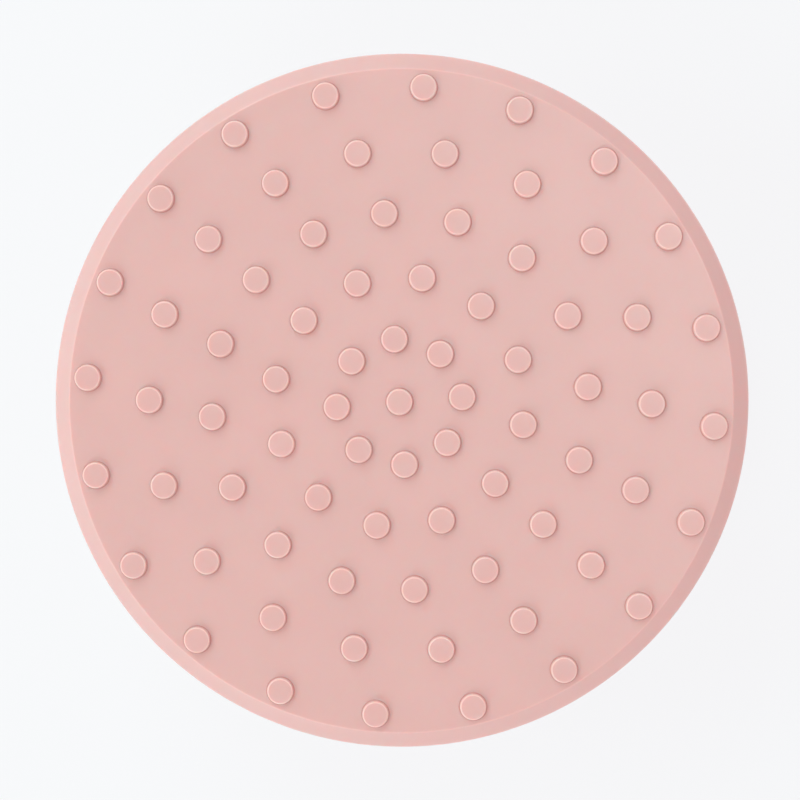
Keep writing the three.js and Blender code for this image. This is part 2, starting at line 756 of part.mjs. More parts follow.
function addBattery() {
  addPiece(brush, 'battery_cell', box(CELL_X, CELL_Y, CELL_Z), FOIL);
  const padZ = [CELL_Z[1] + TOUCH, CEILING_Z - TOUCH];
  addPiece(brush, 'battery_foam_pad', box([-15, 15], [-22, -4], padZ), DARK_RUBBER);
  const guardX = [CELL_X[0] - 1.7, CELL_X[0] - FIT];
  addPiece(brush, 'battery_protection_board', box(guardX, [-14, -4], [17.5, 22.5]), BOARD_GREEN);
  addPiece(brush, 'battery_connector_socket', connectorSocket(), BUTTON_PLASTIC);
  const plug = box([-11.6, -6.7], [-10.6, -6.4], [8.5, 10.5]);
  addPiece(brush, 'battery_connector_plug', plug, BUTTON_PLASTIC);
}

function addLeads() {
  for (const [name, route] of Object.entries(leadRoutes())) {
    const look = name.endsWith('positive') ? WIRE_RED : WIRE_BLACK;
    addPiece(brush, name, wire(route), look);
  }
}

function addBoard() {
  addPiece(brush, 'circuit_board', circuitBoard(), BOARD_GREEN);
  addPiece(brush, 'microcontroller', chip(5, 0.9), CHIP_BLACK).position.set(3, -8, 0);
  addPiece(brush, 'charger_chip', chip(3, 0.8), CHIP_BLACK).position.set(6, -20, 0);
  addPiece(brush, 'motor_driver_chip', chip(3, 0.8), CHIP_BLACK).position.set(-3, 8, 0);
  boardScrewPlaces.forEach(([x, y], i) => {
    const piece = addPiece(brush, `board_screw_${i + 1}`, screw(BOARD_SCREW), STEEL);
    piece.position.set(x, y, BOARD_Z[1] + TOUCH);
  });
}

function addButton() {
  addPiece(brush, 'power_button', powerButton(), BUTTON_PLASTIC);
  const plungerZ = [BUTTON_FLANGE_Z[1] + FIT, SWITCH_BASE_Z + 0.7];
  addPiece(brush, 'switch_plunger', post(PLUNGER_RADIUS, plungerZ), INNER_PLASTIC);
  addPiece(brush, 'switch_body', switchBody(), CHIP_BLACK);
  addPiece(brush, 'button_boot', buttonBoot(), DARK_RUBBER);
  const clampZ = [BOOT_Z + BOOT_THICKNESS + TOUCH, BOOT_Z + 1];
  addPiece(brush, 'boot_clamp_ring', ring(BOOT_RING, clampZ, MID_ROUND), INNER_PLASTIC);
  const ledZ = [5.7, BOARD_Z[0] - TOUCH];
  const led = box([-1, 1], [INDICATOR_Y - 0.6, INDICATOR_Y + 0.6], ledZ);
  addPiece(brush, 'status_led', led, CLEAR_PLASTIC);
  addPiece(brush, 'light_pipe', lightPipe(), CLEAR_PLASTIC);
}

function addPort() {
  addPiece(brush, 'usb_shell', usbShell(), STEEL);
  addPiece(brush, 'usb_tongue', usbTongue(), CHIP_BLACK);
  addPiece(brush, 'port_flap', portFlap(), SILICONE);
  addPiece(brush, 'flap_anchor', flapAnchor(), SILICONE);
}

addShells();
addMotor();
addBattery();
addLeads();
addBoard();
addButton();
addPort();

export default brush;
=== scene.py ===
"""The looks of a palm-held facial cleansing brush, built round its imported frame.

The brush lies on its back with its studs up and its charging port towards -Y. Sizes here are
millimetres, in the frame's own axes, and MM turns them into Blender's metres.
"""

import json
import math

import bmesh
import bpy
from mathutils import Matrix, Vector
from mathutils.geometry import delaunay_2d_cdt


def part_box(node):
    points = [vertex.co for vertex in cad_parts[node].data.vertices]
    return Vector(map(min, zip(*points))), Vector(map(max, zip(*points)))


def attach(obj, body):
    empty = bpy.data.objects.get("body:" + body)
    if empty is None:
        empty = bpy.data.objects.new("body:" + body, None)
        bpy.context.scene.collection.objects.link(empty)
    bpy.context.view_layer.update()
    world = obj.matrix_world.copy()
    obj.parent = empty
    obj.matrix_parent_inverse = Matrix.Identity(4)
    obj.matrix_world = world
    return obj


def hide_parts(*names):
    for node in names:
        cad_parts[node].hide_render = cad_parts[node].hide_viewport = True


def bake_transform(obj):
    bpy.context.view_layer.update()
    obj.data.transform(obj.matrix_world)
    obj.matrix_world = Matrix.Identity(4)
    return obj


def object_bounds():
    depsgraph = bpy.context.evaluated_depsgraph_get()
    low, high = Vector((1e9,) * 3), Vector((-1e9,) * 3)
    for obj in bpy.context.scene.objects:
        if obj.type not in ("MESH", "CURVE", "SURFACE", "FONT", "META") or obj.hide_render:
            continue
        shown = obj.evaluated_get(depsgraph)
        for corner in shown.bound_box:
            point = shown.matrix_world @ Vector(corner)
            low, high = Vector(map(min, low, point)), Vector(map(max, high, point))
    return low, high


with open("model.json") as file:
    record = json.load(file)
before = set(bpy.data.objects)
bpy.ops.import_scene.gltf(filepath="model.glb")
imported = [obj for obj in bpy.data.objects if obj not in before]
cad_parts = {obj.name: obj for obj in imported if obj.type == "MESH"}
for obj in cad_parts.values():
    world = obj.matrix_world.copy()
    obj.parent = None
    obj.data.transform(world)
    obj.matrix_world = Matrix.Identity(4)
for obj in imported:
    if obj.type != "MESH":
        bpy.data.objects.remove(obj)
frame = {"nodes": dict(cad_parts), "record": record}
cad_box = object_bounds()

MM = 0.001
WELD = 0.0005  # points closer together than this are one point
BITE = 0.3  # how far a joined shape reaches into the one it grows from
FINE = 256  # facets round the brush
MEDIUM = 96  # facets round the button and its seal
SMALL = 40  # facets round a stud, a boss or a small hole
SHARP_FROM = 32  # an edge that turns by more degrees than this stays sharp


def corners(node):
    """The lowest and highest corner of a CAD node, in millimetres."""
    low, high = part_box(node)
    return low / MM, high / MM


# The studded face.
SKIN_LOW, SKIN_HIGH = corners("silicone_face")
RADIUS = SKIN_HIGH.x
STUD_HEIGHT = 0.6
FACE_Z = SKIN_HIGH.z - STUD_HEIGHT
BEVEL = 2.1
CREASE = 0.3  # rounding where the face turns into the bevel
RIM_ROUND = 1.2  # rounding where the bevel turns into the side
SKIN = 1.8  # thickness of the silicone
INSIDE = RADIUS - SKIN
INSIDE_CHAMFER = 0.9
BEAD_Z = 18.5  # middle of the bead that holds the skin on the front shell
BEAD_DEPTH = 0.5
BEAD_HEIGHTS = (0.8, 1.4)  # at its crest and at its root
STUD_RADIUS = 1.5
STUD_FOOT = 0.2  # fillet round a stud's foot
STUD_EDGE = 0.2  # rounding of a stud's rim
STUD_PITCH = 7.165
STUDS_IN_RING = (8, 12, 16, 18, 20)
STUD_TURN = 139.6  # degrees from +X to the stud that every ring shares
GRID = 1.6  # spacing of the points on the flat of the face
COLLAR = 1.95  # radius of a close ring of points round every stud
COLLAR_POINTS = 20

# The silicone's colour, as linear values, and the heights over the face between which painted highlights and
# painted shade change it.
SILICONE_COLOUR = (0.79, 0.448, 0.42)
PAINTED_LIGHT_BANDS = (
    ((STUD_HEIGHT - 0.09, STUD_HEIGHT - 0.004), (1.14, 1.25, 1.24)),  # painted highlight on the rims of the studs
    ((-0.088, -0.004), (1.06, 1.08, 1.08)),  # painted highlight along the edge of the face
    ((0.01, 0.16), (0.88, 0.67, 0.64)),  # painted shade round the feet of the studs
)

# The rear housing.
REAR_RADIUS = corners("rear_shell")[1].x
REAR_TOP = SKIN_LOW.z - 0.3
BACK_EDGE = 6
REAR_INSIDE = REAR_RADIUS - 2
INSIDE_EDGE = 4
FLOOR_Z = 2.4
DISH_RADIUS = 12  # shallow dish round the power button
DISH_SLOPE = 0.9
DISH_DEPTH = 0.9
BUTTON_HOLE = 7
LIP_INSIDE = 34.9
LIP_OUTSIDE = 36.2
LIP_TOP = 19
LIP_ROOT = 13
GROOVE_HEIGHTS = (16.4, 17.6)  # groove for the seal between the shells
GROOVE_DEPTH = 0.8
BOSS_REACH = 31 * math.cos(math.radians(45))  # four bosses on the diagonals, 31 from the middle
BOSS_PLACES = [(x, y) for x in (-BOSS_REACH, BOSS_REACH) for y in (-BOSS_REACH, BOSS_REACH)]
BOSS_TOP = corners("rear_shell")[1].z
BOSS_RADIUS = 3
BOSS_PILOT = 1.05
BOSS_PILOT_FROM = 14
BOARD_LOW, BOARD_HIGH = corners("circuit_board")
SCREW_PLACES = ((-12, -18), (12, 9))
PIN_PLACES = ((12, -18), (-12, 9))
STANDOFF_RADIUS = 2.5
STANDOFF_PILOT = 0.85
STANDOFF_PILOT_TO = 8
PIN_RADIUS = 1
SEAT_RADII = (9.2, 11.2)  # ring that the button's seal is clamped to
SEAT_TOP = 4.25

# The charging port and its cover. Angles run from -Y towards +X. Holes and bars measure (across, up).
PORT_Z = (corners("port_flap")[0].z + corners("port_flap")[1].z) / 2
PORT_WALL_ANGLES = (-15.4, 14.4)
PORT_WALL_LOW = 5
PORT_WALL_INSIDE = 36.5
PORT_HOLE = (9.4, 3.6)
THROUGH_WALL_Y = -30  # cuts through the wall end here, inside it
POCKET_FLOOR = 38
POCKET_ANGLES = (-14.8, 12.6)
POCKET_HEIGHTS = (6.3, 12.2)
POCKET_CORNER = 0.6
POCKET_MOUTH = 0.25
COVER_ANGLES = (-14.5, 12.1)
COVER_HEIGHTS = (6.45, 12.05)
COVER_CORNER = 0.55
COVER_EDGES = (0.15, 0.25)  # rounding of its inner and its outer rim
COVER_INSIDE = 38.1
COVER_OUTSIDE = 39.35
HINGE_ANGLE = -10.85  # middle of the web
HINGE_NOTCH = 0.5  # half the width of the notch behind the web, in degrees
HINGE_WEB = 0.35  # thickness of the web that bends
FINGER_LIP_FROM = 9.6
FINGER_LIP_RISE = 1.1  # the lip reaches its full height over this many degrees
FINGER_LIP_STANDS = 0.48
PLUG = (8.6, 2.9)
PLUG_TIP_Y = -36.6
PLUG_LENGTH = 2
RIB_Y = -37.2
RIB_STANDS = 0.08
RIB_STEP = 0.15
PEG_X = -8.7
PEG_WIDTH = 2.2
PEG_HOLE = 2.6
PEG_TIP_Y = -35.9
PEG_TAPER = (0.3, 0.4)  # how far its tip is drawn in, over what length
PEG_ROOT_Y = -37.4

# The charging socket.
SOCKET = (8.94, 3.16)
SOCKET_WALL = 0.3
SOCKET_FRONT = corners("usb_shell")[0].y
SOCKET_BACK = corners("usb_shell")[1].y
TONGUE_BASE = (8.1, 2.3)
TONGUE_BASE_LENGTH = 1.5
TONGUE = (6.7, 0.7)
TONGUE_TIP_Y = -35.6
TONGUE_LENGTH = 5.6
CONTACTS = 12
CONTACT_PITCH = 0.5
CONTACT = (0.25, 0.06)
CONTACT_TIP_Y = -35.2
CONTACT_LENGTH = 4.2

# The power button, its seal and the indicator.
KEY_RADIUS = 6.7
KEY_FLANGE_Z = 2.5
KEY_DISH = 0.28
KEY_DISH_REACH = 0.92  # the dish ends at this share of the radius
KEY_DISH_STEPS = 12
SIGN_HEIGHT = 0.24
SIGN_LINE = 0.2  # half the width of the sign's lines
SIGN_RADIUS = 1.9
SIGN_ARC = (130, 280)  # the ring's start and its sweep, in degrees
SIGN_BAR = (0.7, 2.2)  # from and to, along Y
SEAL_WALL = (7.4, 8.2)  # inner and outer radius
SEAL_BULGE = 0.3
SEAL_FOLDS_AT = (0.35, 0.7)  # where the bulge starts and where it is widest, over the lower end
SEAL_BRIM = 0.4
INDICATOR_Y = -15
INDICATOR_HOLE = 1.25
INDICATOR_MOUTH = 0.65  # how much wider the hole is outside
LENS_RADIUS = 1.2
LENS_DOME = 0.12
LENS_FLANGE = (2.45, 3.2)

# Rounded edges of the pieces that keep their CAD shape.
SOFT_EDGES = {
    "battery_cell": 1.2,
    "battery_foam_pad": 0.3,
    "battery_protection_board": 0.1,
    "battery_connector_plug": 0.2,
    "microcontroller": 0.08,
    "charger_chip": 0.08,
    "motor_driver_chip": 0.08,
    "status_led": 0.15,
    "carbon_brush_left": 0.1,
    "carbon_brush_right": 0.1,
    "shell_seal": 0.25,
    "motor_damper": 0.2,
    "motor_bush_front": 0.1,
    "motor_bush_rear": 0.1,
    "boot_clamp_ring": 0.1,
    "motor_shaft": 0.1,
    "switch_plunger": 0.15,
}

# The camera looks almost straight down, from about two degrees off the vertical.
FOCAL_LENGTH = 85
SENSOR_WIDTH = 36
CAMERA_DISTANCE = 215.5
TILT_X = 1.79
TILT_Y = 1.15
SHIFT_X = 0.0006
SHIFT_Y = 0.0024

# The backdrop and the light, as linear values. The lights are cooler than the sky.
BACKDROP_COLOUR = (0.95, 0.947, 0.965)
BACKDROP_ALBEDO = 0.13
BACKDROP_GLOW = 0.846
FLOOR_REACH = 2400
COVE = 600  # radius of the curve between floor and wall
COVE_CENTRE = Vector((FLOOR_REACH, COVE))
COVE_STEPS = 12
WALL_TOP = 1500
SKY_COLOUR = (1.0, 0.935, 0.92)
SKY_STRENGTH = 0.71
LIGHT_COLOUR = (0.61, 1.0, 1.0)
# Soft round lights: degrees from +X, degrees up, distance and size in metres, and power in watts.
LIGHTS = {
    "upper_left": {"around": 115, "rise": 30, "distance": 1.2, "size": 0.8, "power": 5.2},
    "left": {"around": 178, "rise": 40, "distance": 1.2, "size": 0.5, "power": 2.0},
    "lower_left": {"around": 240, "rise": 30, "distance": 1.2, "size": 0.8, "power": 4.8},
}
# A light that shows only in reflections.
GLOSS_LIGHT = {"around": 35, "rise": 62, "distance": 0.9, "size": 0.7, "power": 4.0}


# ---------------------------------------------------------------- outlines


def on_arc(centre, start, end, share):
    """The point at a share of the way round the centre, from start to end."""
    a, b = start - centre, end - centre
    turn = a.angle(b)
    return centre + (a * math.sin((1 - share) * turn) + b * math.sin(share * turn)) / math.sin(turn)


def rounded(corner_list):
    """An outline of (radius, height) points whose corners, given as (radius, height, rounding), are arcs."""
    outline = []
    count = len(corner_list)
    for i, (across, up, rounding) in enumerate(corner_list):
        here = Vector((across, up))
        if rounding == 0:
            outline.append(here)
            continue
        back = (Vector(corner_list[i - 1][:2]) - here).normalized()
        ahead = (Vector(corner_list[(i + 1) % count][:2]) - here).normalized()
        half = back.angle(ahead) / 2
        start = here + back * rounding / math.tan(half)
        end = here + ahead * rounding / math.tan(half)
        centre = here + (back + ahead).normalized() * rounding / math.sin(half)
        steps = 4 + int(2 * rounding)
        outline += [on_arc(centre, start, end, k / steps) for k in range(steps + 1)]
    return outline


def rounded_rectangle(half_across, half_up, corner, columns=24, rows=8, corner_steps=6):
    """Points anticlockwise round a rectangle with rounded corners, centred on (0, 0)."""
    arcs = []
    for across, up, start in ((1, -1, -90), (1, 1, 0), (-1, 1, 90), (-1, -1, 180)):
        turns = [math.radians(start + 90 * i / corner_steps) for i in range(corner_steps + 1)]
        centre = Vector((across * (half_across - corner), up * (half_up - corner)))
        arcs.append([centre + Vector((math.cos(t), math.sin(t))) * corner for t in turns])
    points = []
    for k, turn in enumerate(arcs):
        count = columns if k % 2 else rows
        points += turn
        points += [turn[-1].lerp(arcs[(k + 1) % 4][0], i / count) for i in range(1, count)]
    return points


def edge_layers(thickness, under, over, steps=5):
    """(inset, depth) up the edge of a plate whose two rims are rounded by under and over."""
    turns = [math.pi / 2 * i / steps for i in range(steps + 1)]
    lower = [(under * (1 - math.sin(t)), under * (1 - math.cos(t))) for t in turns]
    upper = [(over * (1 - math.cos(t)), thickness - over * (1 - math.sin(t))) for t in turns]
    return lower + upper


# ---------------------------------------------------------------- meshes


def piece(name, points, faces):
    """A mesh object from points in millimetres, welded, with its faces turned outward."""
    mesh = bpy.data.meshes.new(name)
    mesh.from_pydata([[c * MM for c in point] for point in points], [], faces)
    built = bmesh.new()
    built.from_mesh(mesh)
    bmesh.ops.remove_doubles(built, verts=built.verts, dist=WELD * MM)
    bmesh.ops.recalc_face_normals(built, faces=built.faces)
    built.to_mesh(mesh)
    built.free()
    obj = bpy.data.objects.new(name, mesh)
    bpy.context.scene.collection.objects.link(obj)
    return obj


def bridged(rows):
    """Faces between rows of points, each row running all the way round."""
    faces = []
    for near, far in zip(rows, rows[1:]):
        for i in range(len(near)):
            j = (i + 1) % len(near)
            faces.append(list(dict.fromkeys((near[i], near[j], far[j], far[i]))))
    return faces


def turned_rows(points, outline, segments, centre=(0, 0)):
    """Adds the outline's points, turned about Z, to points. Returns one row of indices per height."""
    rows = []
    for radius, height in outline:
        start = len(points)
        if radius < WELD:
            points.append((*centre, height))
            rows.append([start] * segments)
            continue
        for i in range(segments):
            turn = math.tau * i / segments
            across, along = radius * math.cos(turn), radius * math.sin(turn)
            points.append((centre[0] + across, centre[1] + along, height))
        rows.append(list(range(start, start + segments)))
    return rows


def lathe(name, outline, segments=MEDIUM, centre=(0, 0)):
    """A solid turned about Z. An outline that starts off the axis closes into a ring."""
    points = []
    rows = turned_rows(points, outline, segments, centre)
    if outline[0][0] > WELD:
        rows.append(rows[0])
    return piece(name, points, bridged(rows))


def post(name, radius, low, high, centre):
    """A plain upright cylinder, to be joined or cut."""
    return lathe(name, [(0, low), (radius, low), (radius, high), (0, high)], SMALL, centre)


def loft(name, loops, closed=False):
    """A solid over loops with equal numbers of points, ending in flat lines or closing on itself."""
    count = len(loops[0])
    rows = [list(range(k * count, (k + 1) * count)) for k in range(len(loops))]
    if closed:
        rows.append(rows[0])
    return piece(name, [point for loop in loops for point in loop], bridged(rows))


def wrapped_plate(name, angles, heights, layers, corner, columns=24, radius_at=None):
    """A plate bent round Z, with one rounded outline for each (inset, depth) layer.

    Angles are degrees from -Y, and insets are measured along the outside of the port's cover.
    radius_at(angle, depth) says how far out a point lies; without it the depth is the radius itself.
    """
    middle_angle = sum(angles) / 2
    middle_height = sum(heights) / 2
    half_across = math.radians(angles[1] - angles[0]) / 2 * COVER_OUTSIDE
    half_up = (heights[1] - heights[0]) / 2

    def loop(inset, depth, flat=False):
        rounding = 0 if flat else max(corner - inset, 0)
        half_height = 0 if flat else half_up - inset
        placed = []
        for across, up in rounded_rectangle(half_across - inset, half_height, rounding, columns):
            angle = middle_angle + math.degrees(across / COVER_OUTSIDE)
            radius = radius_at(angle, depth) if radius_at else depth
            turn = math.radians(angle)
            placed.append((radius * math.sin(turn), -radius * math.cos(turn), middle_height + up))
        return placed

    ends = max(corner, 0.5)
    loops = [loop(ends, layers[0][1], flat=True)]
    loops += [loop(inset, depth) for inset, depth in layers]
    loops.append(loop(ends, layers[-1][1], flat=True))
    return loft(name, loops)


def bar_loops(size, corner, layers, x=0, z=0):
    """Loops for a bar along Y in the charging port, one for each (inset, depth) layer.

    The bar measures size (across, up), and its middle lies x and z away from the port's.
    """
    half_across, half_up = size[0] / 2, size[1] / 2

    def loop(half_width, half_height, rounding, depth):
        outline = rounded_rectangle(half_width, half_height, rounding)
        return [(x + across, depth, PORT_Z + z + up) for across, up in outline]

    loops = [loop(half_across - corner, 0, 0, layers[0][1])]
    for inset, depth in layers:
        loops.append(loop(half_across - inset, half_up - inset, max(corner - inset, 0), depth))
    loops.append(loop(half_across - corner, 0, 0, layers[-1][1]))
    return loops


def combined(obj, others, operation):
    """Joins the other meshes to obj or cuts them out of it, and removes them."""
    for other in others:
        step = obj.modifiers.new(other.name, "BOOLEAN")
        step.operation = operation
        step.solver = "EXACT"
        step.object = other
    graph = bpy.context.evaluated_depsgraph_get()
    result = bpy.data.meshes.new_from_object(obj.evaluated_get(graph))
    obj.modifiers.clear()
    obj.data = result
    for other in others:
        bpy.data.objects.remove(other)
    return obj


def smooth(obj):
    """Smooth shading between sharp edges, with the wide faces kept flat."""
    obj.data.shade_smooth()
    obj.data.set_sharp_from_angle(angle=math.radians(SHARP_FROM))
    weights = obj.modifiers.new("flat_faces", "WEIGHTED_NORMAL")
    weights.keep_sharp = True
    weights.weight = 100


def finished(obj, body, slot, *nodes):
    """Gives a piece its shading and material, and lets it ride on a body in place of CAD nodes."""
    smooth(obj)
    obj.data.materials.clear()
    obj.data.materials.append(material_for(slot))
    if body:
        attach(obj, body)
    if nodes:
        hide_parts(*nodes)
    return obj


# ---------------------------------------------------------------- materials


class Look:
    """One procedural material. Its textures use the frame's own coordinates, so grain has a real size."""

    def __init__(self, slot, roughness, metallic=0.0, specular=0.5):
        self.material = bpy.data.materials.new(slot)
        self.material.use_nodes = True
        self.tree = self.material.node_tree
        self.shader = self.tree.nodes["Principled BSDF"]
        self.shader.inputs["Roughness"].default_value = roughness
        self.shader.inputs["Metallic"].default_value = metallic
        self.shader.inputs["Specular IOR Level"].default_value = specular
        self.colour = linear_colour(slot)
        self.place = self.add("ShaderNodeTexCoord").outputs["Object"]

    def add(self, kind, **settings):
        """A new node of a kind, with its settings."""
        node = self.tree.nodes.new(kind)
        for setting, value in settings.items():
            setattr(node, setting, value)
        return node

    def feed(self, target, socket):
        """Links a socket to the input that it feeds."""
        self.tree.links.new(socket, target)

    def grain(self, size, detail=3.0, stretch=(1, 1, 1)):
        """Noise whose lumps measure size millimetres, drawn out along the axes by stretch."""
        scale = self.add("ShaderNodeMapping")
        scale.inputs["Scale"].default_value = [1 / (size * MM * s) for s in stretch]
        self.feed(scale.inputs["Vector"], self.place)
        noise = self.add("ShaderNodeTexNoise")
        noise.inputs["Scale"].default_value = 1.0
        noise.inputs["Detail"].default_value = detail
        self.feed(noise.inputs["Vector"], scale.outputs["Vector"])
        return noise.outputs["Fac"]

    def tint(self, pattern, spread):
        """The base colour, darker and lighter by a share of itself where the pattern is low and high."""
        mix = self.add("ShaderNodeMix", data_type="RGBA")
        mix.inputs["A"].default_value = (*[c * (1 - spread) for c in self.colour], 1)
        mix.inputs["B"].default_value = (*[c * (1 + spread) for c in self.colour], 1)
        self.feed(mix.inputs["Factor"], pattern)
        self.feed(self.shader.inputs["Base Color"], mix.outputs["Result"])

    def paint_light_band(self, low, high, gain):
        """Paints light or shade: multiplies the tinted colour by gain between two heights in millimetres."""
        up = self.add("ShaderNodeSeparateXYZ")
        self.feed(up.inputs["Vector"], self.place)
        band = self.add("ShaderNodeMath", operation="COMPARE")
        band.inputs[1].default_value = (low + high) / 2 * MM
        band.inputs[2].default_value = (high - low) / 2 * MM
        self.feed(band.inputs[0], up.outputs["Z"])
        mix = self.add("ShaderNodeMix", data_type="RGBA", blend_type="MULTIPLY", clamp_result=True)
        mix.inputs["B"].default_value = (*gain, 1)
        self.feed(mix.inputs["Factor"], band.outputs["Value"])
        self.feed(mix.inputs["A"], self.shader.inputs["Base Color"].links[0].from_socket)
        self.feed(self.shader.inputs["Base Color"], mix.outputs["Result"])

    def polish(self, pattern, low, high):
        """Roughness from low to high, following the middle of the pattern's range."""
        spread = self.add("ShaderNodeMapRange")
        spread.inputs["From Min"].default_value = 0.3
        spread.inputs["From Max"].default_value = 0.7
        spread.inputs["To Min"].default_value = low
        spread.inputs["To Max"].default_value = high
        self.feed(spread.inputs["Value"], pattern)
        self.feed(self.shader.inputs["Roughness"], spread.outputs["Result"])

    def relief(self, pattern, height, strength):
        """Fine relief, height millimetres deep, added over any earlier relief."""
        bump = self.add("ShaderNodeBump")
        bump.inputs["Strength"].default_value = strength
        bump.inputs["Distance"].default_value = height * MM
        self.feed(bump.inputs["Height"], pattern)
        if self.shader.inputs["Normal"].is_linked:
            self.feed(bump.inputs["Normal"], self.shader.inputs["Normal"].links[0].from_socket)
        self.feed(self.shader.inputs["Normal"], bump.outputs["Normal"])


RECORD_COLOURS = {m["slot"]: m["base_color"][:3] for m in frame["record"]["materials"]}


def linear_colour(slot):
    """The record's colour of a slot, from display values to linear ones. The silicone has its own."""
    if slot == "silicone":
        return SILICONE_COLOUR
    return [c / 12.92 if c < 0.04045 else ((c + 0.055) / 1.055) ** 2.4 for c in RECORD_COLOURS[slot]]


def silicone():
    """Dry, slightly translucent silicone, mottled, with painted highlights on its edges and painted shade
    round the studs' feet.
    """
    look = Look("silicone", roughness=0.4, specular=0.6)
    look.tint(look.grain(9, detail=4), spread=0.035)
    # Painted highlights on the studs' rims and the face's edge, and painted shade round the studs' feet.
    for (low, high), gain in PAINTED_LIGHT_BANDS:
        look.paint_light_band(FACE_Z + low, FACE_Z + high, gain)
    look.polish(look.grain(2.5), 0.36, 0.46)
    look.relief(look.grain(4, detail=2), height=0.05, strength=0.35)
    look.relief(look.grain(0.22, detail=4), height=0.012, strength=0.5)
    look.shader.inputs["Subsurface Weight"].default_value = 0.8
    look.shader.inputs["Subsurface Radius"].default_value = (1.0, 0.25, 0.18)
    look.shader.inputs["Subsurface Scale"].default_value = 1.0 * MM
    look.shader.inputs["Sheen Weight"].default_value = 0.12
    look.shader.inputs["Sheen Roughness"].default_value = 0.5
    return look.material


def moulded(slot, roughness, texture, depth):
    """Moulded plastic with a spark-eroded texture of the given grain and depth."""
    look = Look(slot, roughness)
    look.tint(look.grain(12), spread=0.02)
    look.polish(look.grain(texture * 4), roughness - 0.05, roughness + 0.07)
    look.relief(look.grain(texture, detail=5), height=depth, strength=0.6)
    return look.material


def rubber(slot, grain):
    """Dull rubber, foam or bonded magnet, with a grain of its own."""
    look = Look(slot, roughness=0.75, specular=0.35)
    look.tint(look.grain(3), spread=0.12)
    look.polish(look.grain(1.5), 0.66, 0.85)
    look.relief(look.grain(grain, detail=5), height=grain / 6, strength=0.6)
    return look.material


def metal(slot, roughness, stretch, scratches=0.06):
    """Drawn or turned metal, whose brush marks run the way that stretch draws them out."""
    look = Look(slot, roughness, metallic=1.0)
    marks = look.grain(scratches, detail=4, stretch=stretch)
    look.tint(look.grain(2.5), spread=0.08)
    look.polish(marks, roughness - 0.08, roughness + 0.14)
    look.relief(marks, height=0.003, strength=0.4)
    return look.material


def clear_plastic():
    """The frosted plastic of the light pipe and the indicator."""
    look = Look("clear_plastic", roughness=0.3)
    look.tint(look.grain(0.8), spread=0.03)
    look.relief(look.grain(0.1), height=0.004, strength=0.5)
    look.shader.inputs["Transmission Weight"].default_value = 0.55
    return look.material


def circuit_board():
    """Green solder mask over copper traces, which run under it as straight, stepped lines."""
    look = Look("board", roughness=0.35)
    bricks = look.add("ShaderNodeTexBrick")
    bricks.inputs["Scale"].default_value = 260
    bricks.inputs["Mortar Size"].default_value = 0.012
    trace = [min(c * 1.7 + 0.015, 1) for c in look.colour]
    bricks.inputs["Color1"].default_value = (*look.colour, 1)
    bricks.inputs["Color2"].default_value = (*[c * 0.9 for c in look.colour], 1)
    bricks.inputs["Mortar"].default_value = (*trace, 1)
    look.feed(bricks.inputs["Vector"], look.place)
    look.feed(look.shader.inputs["Base Color"], bricks.outputs["Color"])
    look.relief(bricks.outputs["Fac"], height=0.02, strength=0.4)
    look.polish(look.grain(0.5), 0.3, 0.42)
    return look.material


def pouch():
    """The cell's aluminium-laminate pouch, softly creased."""
    look = Look("cell_pouch", roughness=0.35, metallic=0.85)
    look.tint(look.grain(6), spread=0.05)
    look.polish(look.grain(1.2), 0.28, 0.42)
    look.relief(look.grain(2.5, detail=2), height=0.08, strength=0.5)
    return look.material


def sleeve(slot):
    """A wire's smooth insulation."""
    look = Look(slot, roughness=0.4)
    look.tint(look.grain(1.5), spread=0.06)
    look.polish(look.grain(0.6), 0.34, 0.48)
    look.relief(look.grain(0.15), height=0.004, strength=0.5)
    return look.material


MAKERS = {
    "silicone": silicone,
    "shell_plastic": lambda: moulded("shell_plastic", 0.42, texture=0.16, depth=0.012),
    "button_plastic": lambda: moulded("button_plastic", 0.3, texture=0.3, depth=0.004),
    "inner_plastic": lambda: moulded("inner_plastic", 0.5, texture=0.2, depth=0.012),
    "chip": lambda: moulded("chip", 0.55, texture=0.08, depth=0.008),
    "clear_plastic": clear_plastic,
    "grey_rubber": lambda: rubber("grey_rubber", grain=0.2),
    "foam": lambda: rubber("foam", grain=0.6),
    "magnet": lambda: rubber("magnet", grain=0.12),
    "steel": lambda: metal("steel", 0.3, stretch=(1, 12, 1)),
    "motor_metal": lambda: metal("motor_metal", 0.36, stretch=(14, 1, 1)),
    "bronze": lambda: metal("bronze", 0.32, stretch=(1, 1, 1)),
    "copper": lambda: metal("copper", 0.34, stretch=(10, 1, 1)),
    "board": circuit_board,
    "cell_pouch": pouch,
    "wire_red": lambda: sleeve("wire_red"),
    "wire_black": lambda: sleeve("wire_black"),
}
made_materials = {}


def material_for(slot):
    """The material of a slot, made when it is first asked for."""
    if slot not in made_materials:
        made_materials[slot] = MAKERS[slot]()
    return made_materials[slot]


# ---------------------------------------------------------------- the studded face


def stud_places():
    """The middle of every stud: one in the centre of the face, then the rings."""
    places = [Vector((0, 0))]
    for ring, count in enumerate(STUDS_IN_RING, 1):
        for i in range(count):
            turn = math.radians(STUD_TURN + 360 * i / count)
            places.append(Vector((math.cos(turn), math.sin(turn))) * STUD_PITCH * ring)
    return places


def collars(studs):
    """Points in a close ring round every stud, so that the rest of the flat is shaded as a flat."""
    turns = [math.tau * i / COLLAR_POINTS for i in range(COLLAR_POINTS)]
    return [stud + Vector((math.cos(t), math.sin(t))) * COLLAR for stud in studs for t in turns]


def grid_places(studs, reach):
    """Evenly staggered points on the flat of the face, clear of the studs and of the rim."""
    rows = int(reach / GRID) + 1
    clear_of_stud = COLLAR + 0.4 * GRID
    kept = []
    for row in range(-rows, rows + 1):
        for column in range(-rows - 1, rows + 1):
            place = Vector(((column + 0.5 * (row % 2)) * GRID, row * GRID * math.sqrt(3) / 2))
            off_stud = all((place - stud).length > clear_of_stud for stud in studs)
            if place.length < reach - 0.5 * GRID and off_stud:
                kept.append(place)
    return kept


